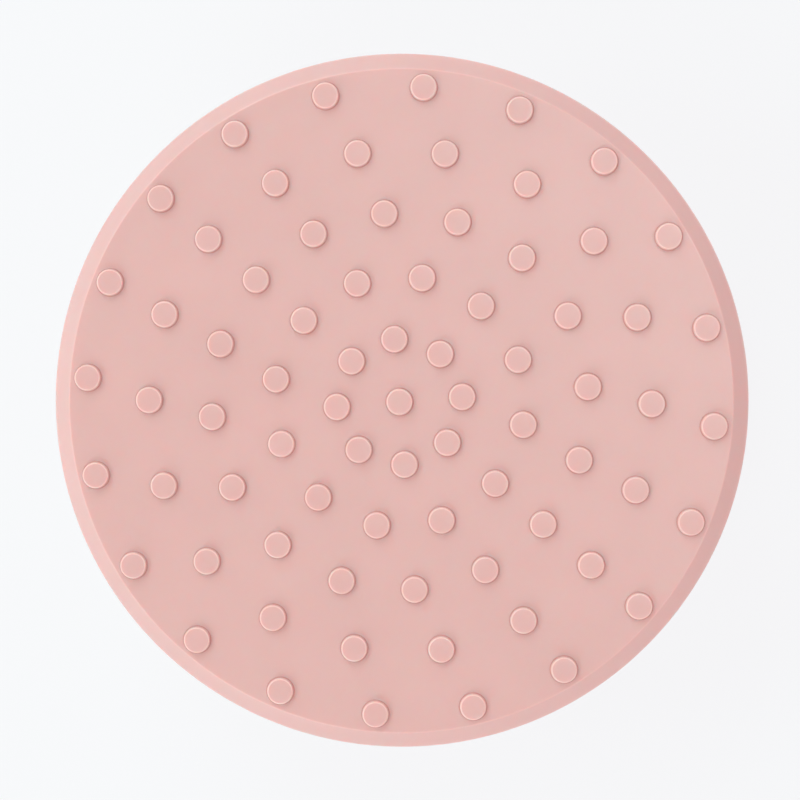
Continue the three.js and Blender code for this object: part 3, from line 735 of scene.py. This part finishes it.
def flat_faces(rim, feet, studs, spare):
    """Triangles over the flat of the face, between its rim, the studs' feet and the spare points."""
    flat = rim + [point for foot in feet for point in foot] + spare
    edges = []
    start = 0
    for loop in [rim, *feet]:
        count = len(loop)
        edges += [(start + i, start + (i + 1) % count) for i in range(count)]
        start += count
    found = delaunay_2d_cdt(flat, edges, [], 0, 1e-6, True)
    places, triangles, origins = found[0], found[2], found[3]
    faces = []
    for triangle in triangles:
        middle = sum((places[i] for i in triangle), Vector((0, 0))) / 3
        if all((middle - stud).length > STUD_RADIUS + 0.9 * STUD_FOOT for stud in studs):
            faces.append([origins[i][0] for i in triangle])
    return faces


def skin_outline():
    """The silicone's section: over the face, down the side and back up the hollow underneath."""
    crest, root = BEAD_HEIGHTS
    ceiling = FACE_Z - SKIN
    return rounded(
        [
            (0, FACE_Z, 0),
            (RADIUS - BEVEL, FACE_Z, CREASE),
            (RADIUS, FACE_Z - BEVEL, RIM_ROUND),
            (RADIUS, SKIN_LOW.z, 0.3),
            (INSIDE, SKIN_LOW.z, 0.15),
            (INSIDE, BEAD_Z - root / 2, 0),
            (INSIDE - BEAD_DEPTH, BEAD_Z - crest / 2, 0.1),
            (INSIDE - BEAD_DEPTH, BEAD_Z + crest / 2, 0.1),
            (INSIDE, BEAD_Z + root / 2, 0),
            (INSIDE, ceiling - INSIDE_CHAMFER, 0.3),
            (INSIDE - INSIDE_CHAMFER, ceiling, 0.3),
            (INSIDE * 2 / 3, ceiling, 0),
            (INSIDE / 3, ceiling, 0),
            (0, ceiling, 0),
        ]
    )


def stud_outline():
    """A stud's section over the face, from the flat beside it to its middle."""
    return rounded(
        [
            (STUD_RADIUS + 1, 0, 0),
            (STUD_RADIUS, 0, STUD_FOOT),
            (STUD_RADIUS, STUD_HEIGHT, STUD_EDGE),
            (STUD_RADIUS / 2, STUD_HEIGHT, 0),
            (0, STUD_HEIGHT, 0),
        ]
    )


def studded_skin():
    """The silicone face: a studded flat, a bevelled rim, a side wall and the hollow underneath."""
    flat_edge, *past_edge = skin_outline()[1:]
    stud_foot, *above_foot = stud_outline()[1:]
    studs = stud_places()
    points = []
    rim_row = turned_rows(points, [flat_edge], FINE)[0]
    foot_rows = [turned_rows(points, [(stud_foot.x, FACE_Z)], SMALL, stud)[0] for stud in studs]
    rim, *feet = [[Vector(points[i][:2]) for i in row] for row in [rim_row, *foot_rows]]
    spare = collars(studs) + grid_places(studs, flat_edge.x)
    faces = flat_faces(rim, feet, studs, spare)
    points += [(*place, FACE_Z) for place in spare]
    upper = [(radius, FACE_Z + height) for radius, height in above_foot]
    for stud, foot in zip(studs, foot_rows):
        faces += bridged([foot, *turned_rows(points, upper, SMALL, stud)])
    faces += bridged([rim_row, *turned_rows(points, past_edge, FINE)])
    finished(piece("studded_skin", points, faces), "housing", "silicone", "silicone_face")


# ---------------------------------------------------------------- the rear housing


def rear_tub():
    """The rear shell's wall, floor, dish and lip, turned in one outline."""
    groove_low, groove_high = GROOVE_HEIGHTS
    groove_floor = LIP_OUTSIDE - GROOVE_DEPTH
    return lathe(
        "rear_housing",
        rounded(
            [
                (BUTTON_HOLE, DISH_DEPTH, 0.3),
                (DISH_RADIUS, DISH_DEPTH, 0.6),
                (DISH_RADIUS + DISH_SLOPE, 0, 0.6),
                (REAR_RADIUS, 0, BACK_EDGE),
                (REAR_RADIUS, REAR_TOP, 0.3),
                (LIP_OUTSIDE, REAR_TOP, 0),
                (LIP_OUTSIDE, groove_low, 0),
                (groove_floor, groove_low, 0),
                (groove_floor, groove_high, 0),
                (LIP_OUTSIDE, groove_high, 0),
                (LIP_OUTSIDE, LIP_TOP, 0.2),
                (LIP_INSIDE, LIP_TOP, 0.2),
                (LIP_INSIDE, LIP_ROOT, 0),
                (REAR_INSIDE, LIP_ROOT, 0),
                (REAR_INSIDE, FLOOR_Z, INSIDE_EDGE),
                (BUTTON_HOLE, FLOOR_Z, 0),
            ]
        ),
        FINE,
    )


def seal_seat():
    """The ring on the floor that the button's seal is clamped to."""
    inner, outer = SEAT_RADII
    root = FLOOR_Z - BITE
    return lathe("seal_seat", [(inner, root), (outer, root), (outer, SEAT_TOP), (inner, SEAT_TOP)])


def port_wall():
    """The thick stretch of side wall behind the charging port."""
    layers = [(0, PORT_WALL_INSIDE), (0, REAR_INSIDE + BITE)]
    heights = (PORT_WALL_LOW, LIP_ROOT + BITE)
    return wrapped_plate("port_wall", PORT_WALL_ANGLES, heights, layers, 0)


def rear_additions():
    """Bosses, standoffs, locating pins, the seal's seat and the wall behind the port."""
    root = FLOOR_Z - BITE
    under_board = BOARD_LOW.z - 0.05
    added = [post("boss", BOSS_RADIUS, root, BOSS_TOP, place) for place in BOSS_PLACES]
    for place in SCREW_PLACES + PIN_PLACES:
        added.append(post("standoff", STANDOFF_RADIUS, root, under_board, place))
    added += [post("pin", PIN_RADIUS, root, BOARD_HIGH.z - 0.2, place) for place in PIN_PLACES]
    return [*added, seal_seat(), port_wall()]


def pocket():
    """The recess that the port's cover lies in, with its mouth rounded over."""
    layers = [(0, POCKET_FLOOR)]
    for degrees in (0, 20, 40, 60, 75):
        turn = math.radians(degrees)
        flare = POCKET_MOUTH * (1 - math.cos(turn))
        layers.append((-flare, REAR_RADIUS - POCKET_MOUTH * (1 - math.sin(turn))))
    layers.append((-2 * POCKET_MOUTH, REAR_RADIUS + 1.2 * POCKET_MOUTH))
    return wrapped_plate("pocket", POCKET_ANGLES, POCKET_HEIGHTS, layers, POCKET_CORNER, columns=60)


def port_hole():
    """The way through the wall to the socket, with a small lead-in for the plug."""
    flare = 0.35
    layers = [(-flare, -POCKET_FLOOR - 0.15), (0, -POCKET_FLOOR + 0.5), (0, THROUGH_WALL_Y)]
    return loft("port_hole", bar_loops(PORT_HOLE, PORT_HOLE[1] / 2, layers))


def peg_hole():
    """The hole that the cover's peg is pressed into."""
    layers = [(0, -POCKET_FLOOR - 0.5), (0, THROUGH_WALL_Y)]
    return loft("peg_hole", bar_loops((PEG_HOLE, PEG_HOLE), PEG_HOLE / 2, layers, x=PEG_X))


def indicator_hole():
    """The hole for the light pipe, flared outside."""
    mouth = INDICATOR_HOLE + INDICATOR_MOUTH
    top = FLOOR_Z + 1
    outline = [(0, -1), (mouth, -1), (INDICATOR_HOLE, 0.25), (INDICATOR_HOLE, top), (0, top)]
    return lathe("indicator_hole", outline, SMALL, (0, INDICATOR_Y))


def rear_cuts():
    """Every hole and recess of the rear shell."""
    cuts = [pocket(), port_hole(), peg_hole(), indicator_hole()]
    for place in BOSS_PLACES:
        cuts.append(post("boss_pilot", BOSS_PILOT, BOSS_PILOT_FROM, BOSS_TOP + 1, place))
    for place in SCREW_PLACES:
        cuts.append(post("screw_pilot", STANDOFF_PILOT, FLOOR_Z + 0.7, STANDOFF_PILOT_TO, place))
    return cuts


def rear_housing():
    """The rear shell, joined and cut from its parts."""
    shell = combined(rear_tub(), rear_additions(), "UNION")
    shell = combined(shell, rear_cuts(), "DIFFERENCE")
    finished(shell, "housing", "shell_plastic", "rear_shell")


# ---------------------------------------------------------------- the port and its cover


def cover_radius(angle, share):
    """How far out the cover's surface lies, from its inside at share 0 to its outside at share 1."""
    near_hinge = 1 - min(abs(angle - HINGE_ANGLE) / HINGE_NOTCH, 1)
    notch = min(2.5 * near_hinge, 1) * (COVER_OUTSIDE - COVER_INSIDE - HINGE_WEB)
    along_lip = min(max((angle - FINGER_LIP_FROM) / FINGER_LIP_RISE, 0), 1)
    lip = FINGER_LIP_STANDS * along_lip * along_lip * (3 - 2 * along_lip)
    inner = COVER_INSIDE + notch
    return inner + share * (COVER_OUTSIDE + lip - inner)


def cover_plate():
    """The curved plate of the cover and its anchor, with the hinge's web between them."""
    thickness = COVER_OUTSIDE - COVER_INSIDE
    edge = edge_layers(thickness, *COVER_EDGES)
    layers = [(inset, depth / thickness) for inset, depth in edge]
    return wrapped_plate(
        "port_cover",
        COVER_ANGLES,
        COVER_HEIGHTS,
        layers,
        COVER_CORNER,
        columns=150,
        radius_at=cover_radius,
    )


def cover_plug():
    """The plug that fills the socket's mouth, and the sealing rib round it."""
    plug_layers = [(inset, PLUG_TIP_Y - depth) for inset, depth in edge_layers(PLUG_LENGTH, 0.3, 0)]
    rib_heights = enumerate((0, RIB_STANDS, RIB_STANDS, 0))
    rib_layers = [(-height, RIB_Y - i * RIB_STEP) for i, height in rib_heights]
    plug = loft("plug", bar_loops(PLUG, PLUG[1] / 2, plug_layers))
    rib = loft("rib", bar_loops(PLUG, PLUG[1] / 2, rib_layers))
    return [plug, rib]


def cover_peg():
    """The tapered peg that holds the anchor in the housing."""
    inset, run = PEG_TAPER
    layers = [(inset, PEG_TIP_Y), (0, PEG_TIP_Y - run), (0, PEG_ROOT_Y)]
    return loft("peg", bar_loops((PEG_WIDTH, PEG_WIDTH), PEG_WIDTH / 2, layers, x=PEG_X))


def port_cover():
    """The cover, its anchor and the web between them: one moulding that bends at the hinge."""
    cover = combined(cover_plate(), [*cover_plug(), cover_peg()], "UNION")
    finished(cover, None, "silicone", "port_flap", "flap_anchor")
    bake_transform(cover)


def socket_shell():
    """The charging socket's steel shell, rolled over at its mouth."""
    half = SOCKET_WALL / 2
    lip = [(0, SOCKET_FRONT + half), (0.05, SOCKET_FRONT + 0.05), (half, SOCKET_FRONT)]
    lip += [(SOCKET_WALL - 0.05, SOCKET_FRONT + 0.05), (SOCKET_WALL, SOCKET_FRONT + half)]
    layers = [(0, SOCKET_BACK), *lip, (SOCKET_WALL, SOCKET_BACK)]
    loops = bar_loops(SOCKET, SOCKET[1] / 2, layers)[1:-1]
    shell = loft("socket_shell", loops, closed=True)
    finished(shell, "housing", "steel", "usb_shell")


def socket_tongue():
    """The socket's moulded base and tongue."""
    base_edge = edge_layers(TONGUE_BASE_LENGTH, 0.1, 0.1)
    base_layers = [(inset, SOCKET_BACK - TONGUE_BASE_LENGTH + depth) for inset, depth in base_edge]
    base = loft("socket_tongue", bar_loops(TONGUE_BASE, TONGUE_BASE[1] / 2, base_layers))
    tongue_edge = edge_layers(TONGUE_LENGTH, 0.15, 0)
    tongue_layers = [(inset, TONGUE_TIP_Y + depth) for inset, depth in tongue_edge]
    tongue = loft("tongue", bar_loops(TONGUE, 0.12, tongue_layers))
    finished(combined(base, [tongue], "UNION"), "housing", "chip", "usb_tongue")


def socket_contacts():
    """The gold contacts on both sides of the tongue."""
    rounding = 0.02
    layers = []
    for inset, depth in edge_layers(CONTACT_LENGTH, rounding, rounding, 2):
        layers.append((inset, CONTACT_TIP_Y + depth))
    built = []
    for z in (-TONGUE[1] / 2, TONGUE[1] / 2):
        for i in range(CONTACTS):
            x = (i - (CONTACTS - 1) / 2) * CONTACT_PITCH
            built.append(loft("contact", bar_loops(CONTACT, rounding, layers, x=x, z=z)))
    contacts = combined(built[0], built[1:], "UNION")
    contacts.name = "socket_contacts"
    finished(contacts, "housing", "bronze")


# ---------------------------------------------------------------- the button and the indicator


def swept(name, path, radius, steps=12):
    """A round bar with round ends along a path at one height."""
    loops = []
    ahead_of = [*path[1:], path[-1] + (path[-1] - path[-2])]
    behind_of = [path[0] - (path[1] - path[0]), *path[:-1]]
    end_cap = [math.radians(90 * i / 5) for i in range(5)]
    stations = [(path[0], -math.cos(t), math.sin(t), 0) for t in end_cap]
    stations += [(point, 0, 1, i) for i, point in enumerate(path)]
    stations += [(path[-1], math.cos(t), math.sin(t), -1) for t in reversed(end_cap)]
    for point, forward, size, i in stations:
        run = (ahead_of[i] - behind_of[i]).normalized()
        side = Vector((-run.y, run.x, 0))
        centre = point + run * forward * radius
        loop = []
        for k in range(steps):
            turn = math.tau * k / steps
            across = side * math.cos(turn) + Vector((0, 0, math.sin(turn)))
            loop.append(centre + across * radius * size)
        loops.append(loop)
    return loft(name, loops)


def power_sign(height):
    """The raised ring and bar of a power sign, with its lines' middle at a height."""
    start, sweep = SIGN_ARC
    steps = 32
    ring = []
    for i in range(steps + 1):
        turn = math.radians(start + sweep * i / steps)
        ring.append(Vector((SIGN_RADIUS * math.cos(turn), SIGN_RADIUS * math.sin(turn), height)))
    ends = [Vector((0, y, height)) for y in SIGN_BAR]
    bar = [ends[0].lerp(ends[1], i / 4) for i in range(5)]
    return [swept("ring", ring, SIGN_LINE), swept("bar", bar, SIGN_LINE)]


def power_key():
    """The power button: a shallow finger dish with a raised ring-and-bar sign, and a hidden flange."""
    low, high = corners("power_button")
    dish = []
    for i in range(KEY_DISH_STEPS):
        share = i / KEY_DISH_STEPS
        depth = KEY_DISH * (1 - (share / KEY_DISH_REACH) ** 2)
        dish.append((KEY_RADIUS * share, low.z + depth, 0))
    edge = [
        (KEY_RADIUS - 0.1, low.z, 0.08),
        (KEY_RADIUS, low.z + 0.3, 0.2),
        (KEY_RADIUS, KEY_FLANGE_Z, 0),
    ]
    flange = [(high.x, KEY_FLANGE_Z, 0.1), (high.x, high.z, 0.1), (0, high.z, 0)]
    key = lathe("power_key", rounded([*dish, *edge, *flange]))
    key = combined(key, power_sign(low.z + SIGN_HEIGHT), "UNION")
    finished(key, "button", "button_plastic", "power_button")


def indicator_lens():
    """The frosted light pipe, domed where it shows in the back."""
    low, high = corners("light_pipe")
    bottom, top = LENS_FLANGE
    dome = []
    for i in range(7):
        share = i / 6
        dome.append((LENS_RADIUS * 0.85 * share, low.z - LENS_DOME * (1 - share**2), 0))
    stem = [(LENS_RADIUS, low.z + LENS_DOME, 0.1), (LENS_RADIUS, bottom, 0)]
    flange = [(high.x, bottom, 0), (high.x, top, 0), (LENS_RADIUS, top, 0)]
    end = [(LENS_RADIUS, high.z, 0.1), (0, high.z, 0)]
    lens = lathe("indicator_lens", rounded([*dome, *stem, *flange, *end]), SMALL, (0, INDICATOR_Y))
    finished(lens, "housing", "clear_plastic", "light_pipe")


def button_seal():
    """The boot that seals the button: its wall folds between the moving flange and the fixed brim."""
    low, high = corners("button_boot")
    inner, outer = SEAL_WALL
    straight_to, bulge_at = [low.z + height for height in SEAL_FOLDS_AT]
    under_brim = high.z - SEAL_BRIM
    outline = [
        (inner, low.z, 0.1),
        (outer, low.z, 0.1),
        (outer, straight_to, 0.1),
        (outer + SEAL_BULGE, bulge_at, 0.1),
        (outer, under_brim, 0.1),
        (high.x, under_brim, 0.08),
        (high.x, high.z, 0.08),
        (inner, high.z, 0.15),
        (inner + SEAL_BULGE, bulge_at, 0.1),
    ]
    seal = finished(lathe("button_seal", rounded(outline)), None, "grey_rubber", "button_boot")
    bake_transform(seal)


# ---------------------------------------------------------------- the pieces that keep their CAD shape


def carried_over():
    """Shading, rounded edges and materials for every CAD node."""
    slots = {part["node"]: part["material_slot"] for part in frame["record"]["subparts"]}
    for name, node in frame["nodes"].items():
        node.data.materials.clear()
        node.data.materials.append(material_for(slots[name]))
        if name in SOFT_EDGES:
            edge = node.modifiers.new("soft_edge", "BEVEL")
            edge.width = SOFT_EDGES[name] * MM
            edge.segments = 3
            edge.limit_method = "ANGLE"
            edge.angle_limit = math.radians(50)
        smooth(node)


# ---------------------------------------------------------------- the stage


def glowing(name, colour, strength, albedo):
    """A plain pale surface that mostly gives its own light, so that shadows on it stay faint."""
    surface = bpy.data.materials.new(name)
    surface.use_nodes = True
    shader = surface.node_tree.nodes["Principled BSDF"]
    shader.inputs["Base Color"].default_value = (albedo, albedo, albedo, 1)
    shader.inputs["Roughness"].default_value = 1
    shader.inputs["Specular IOR Level"].default_value = 0
    shader.inputs["Emission Color"].default_value = (*colour, 1)
    shader.inputs["Emission Strength"].default_value = strength
    return surface


def backdrop():
    """The floor, which curves up into a pale wall far behind the brush."""
    floor_end = COVE_CENTRE - Vector((0, COVE))
    wall_start = COVE_CENTRE + Vector((COVE, 0))
    cove = [on_arc(COVE_CENTRE, floor_end, wall_start, i / COVE_STEPS) for i in range(COVE_STEPS + 1)]
    sweep = lathe("backdrop", [Vector((0, 0)), *cove, Vector((wall_start.x, WALL_TOP))])
    sweep.location.z = cad_box[0].z
    sweep.data.shade_smooth()
    sweep.data.materials.append(glowing("backdrop", BACKDROP_COLOUR, BACKDROP_GLOW, BACKDROP_ALBEDO))


def sky():
    """Even light from above, warmer and a little weaker than the backdrop's."""
    world = bpy.data.worlds.new("sky")
    world.use_nodes = True
    light = world.node_tree.nodes["Background"]
    light.inputs["Color"].default_value = (*SKY_COLOUR, 1)
    light.inputs["Strength"].default_value = SKY_STRENGTH
    bpy.context.scene.world = world


def soft_light(name, around, rise, distance, size, power):
    """A round area light aimed at the middle of the face."""
    turn, up = math.radians(around), math.radians(rise)
    towards = Vector((math.cos(turn) * math.cos(up), math.sin(turn) * math.cos(up), math.sin(up)))
    data = bpy.data.lights.new(name, "AREA")
    data.shape = "DISK"
    data.size = size
    data.energy = power
    data.color = LIGHT_COLOUR
    light = bpy.data.objects.new(name, data)
    light.location = Vector((0, 0, FACE_Z * MM)) + towards * distance
    light.rotation_euler = towards.to_track_quat("Z", "Y").to_euler()
    light.visible_camera = False
    bpy.context.scene.collection.objects.link(light)
    return light


def lights():
    """The soft lights on the left, and the one that shows only in reflections."""
    for name, settings in LIGHTS.items():
        soft_light(name, **settings)
    gloss = soft_light("top_panel", **GLOSS_LIGHT)
    gloss.visible_diffuse = False


def camera():
    """Above the face, about two degrees off the vertical, with +Y up in the picture."""
    tilt_x, tilt_y = math.radians(TILT_X), math.radians(TILT_Y)
    back = Vector((math.sin(tilt_x), math.sin(tilt_y), math.cos(tilt_x) * math.cos(tilt_y))).normalized()
    right = Vector((0, 1, 0)).cross(back).normalized()
    data = bpy.data.cameras.new("camera")
    data.lens = FOCAL_LENGTH
    data.sensor_width = SENSOR_WIDTH
    data.shift_x = SHIFT_X
    data.shift_y = SHIFT_Y
    data.clip_start = 0.01
    view = bpy.data.objects.new("camera", data)
    bpy.context.scene.collection.objects.link(view)
    view.location = (Vector((0, 0, FACE_Z)) + back * CAMERA_DISTANCE) * MM
    axes = (right, back.cross(right), back)
    view.rotation_euler = Matrix(axes).transposed().to_euler()
    bpy.context.scene.camera = view


camera()
sky()
backdrop()
lights()
carried_over()
studded_skin()
rear_housing()
port_cover()
socket_shell()
socket_tongue()
socket_contacts()
power_key()
indicator_lens()
button_seal()
bpy.context.scene.view_settings.view_transform = "Standard"
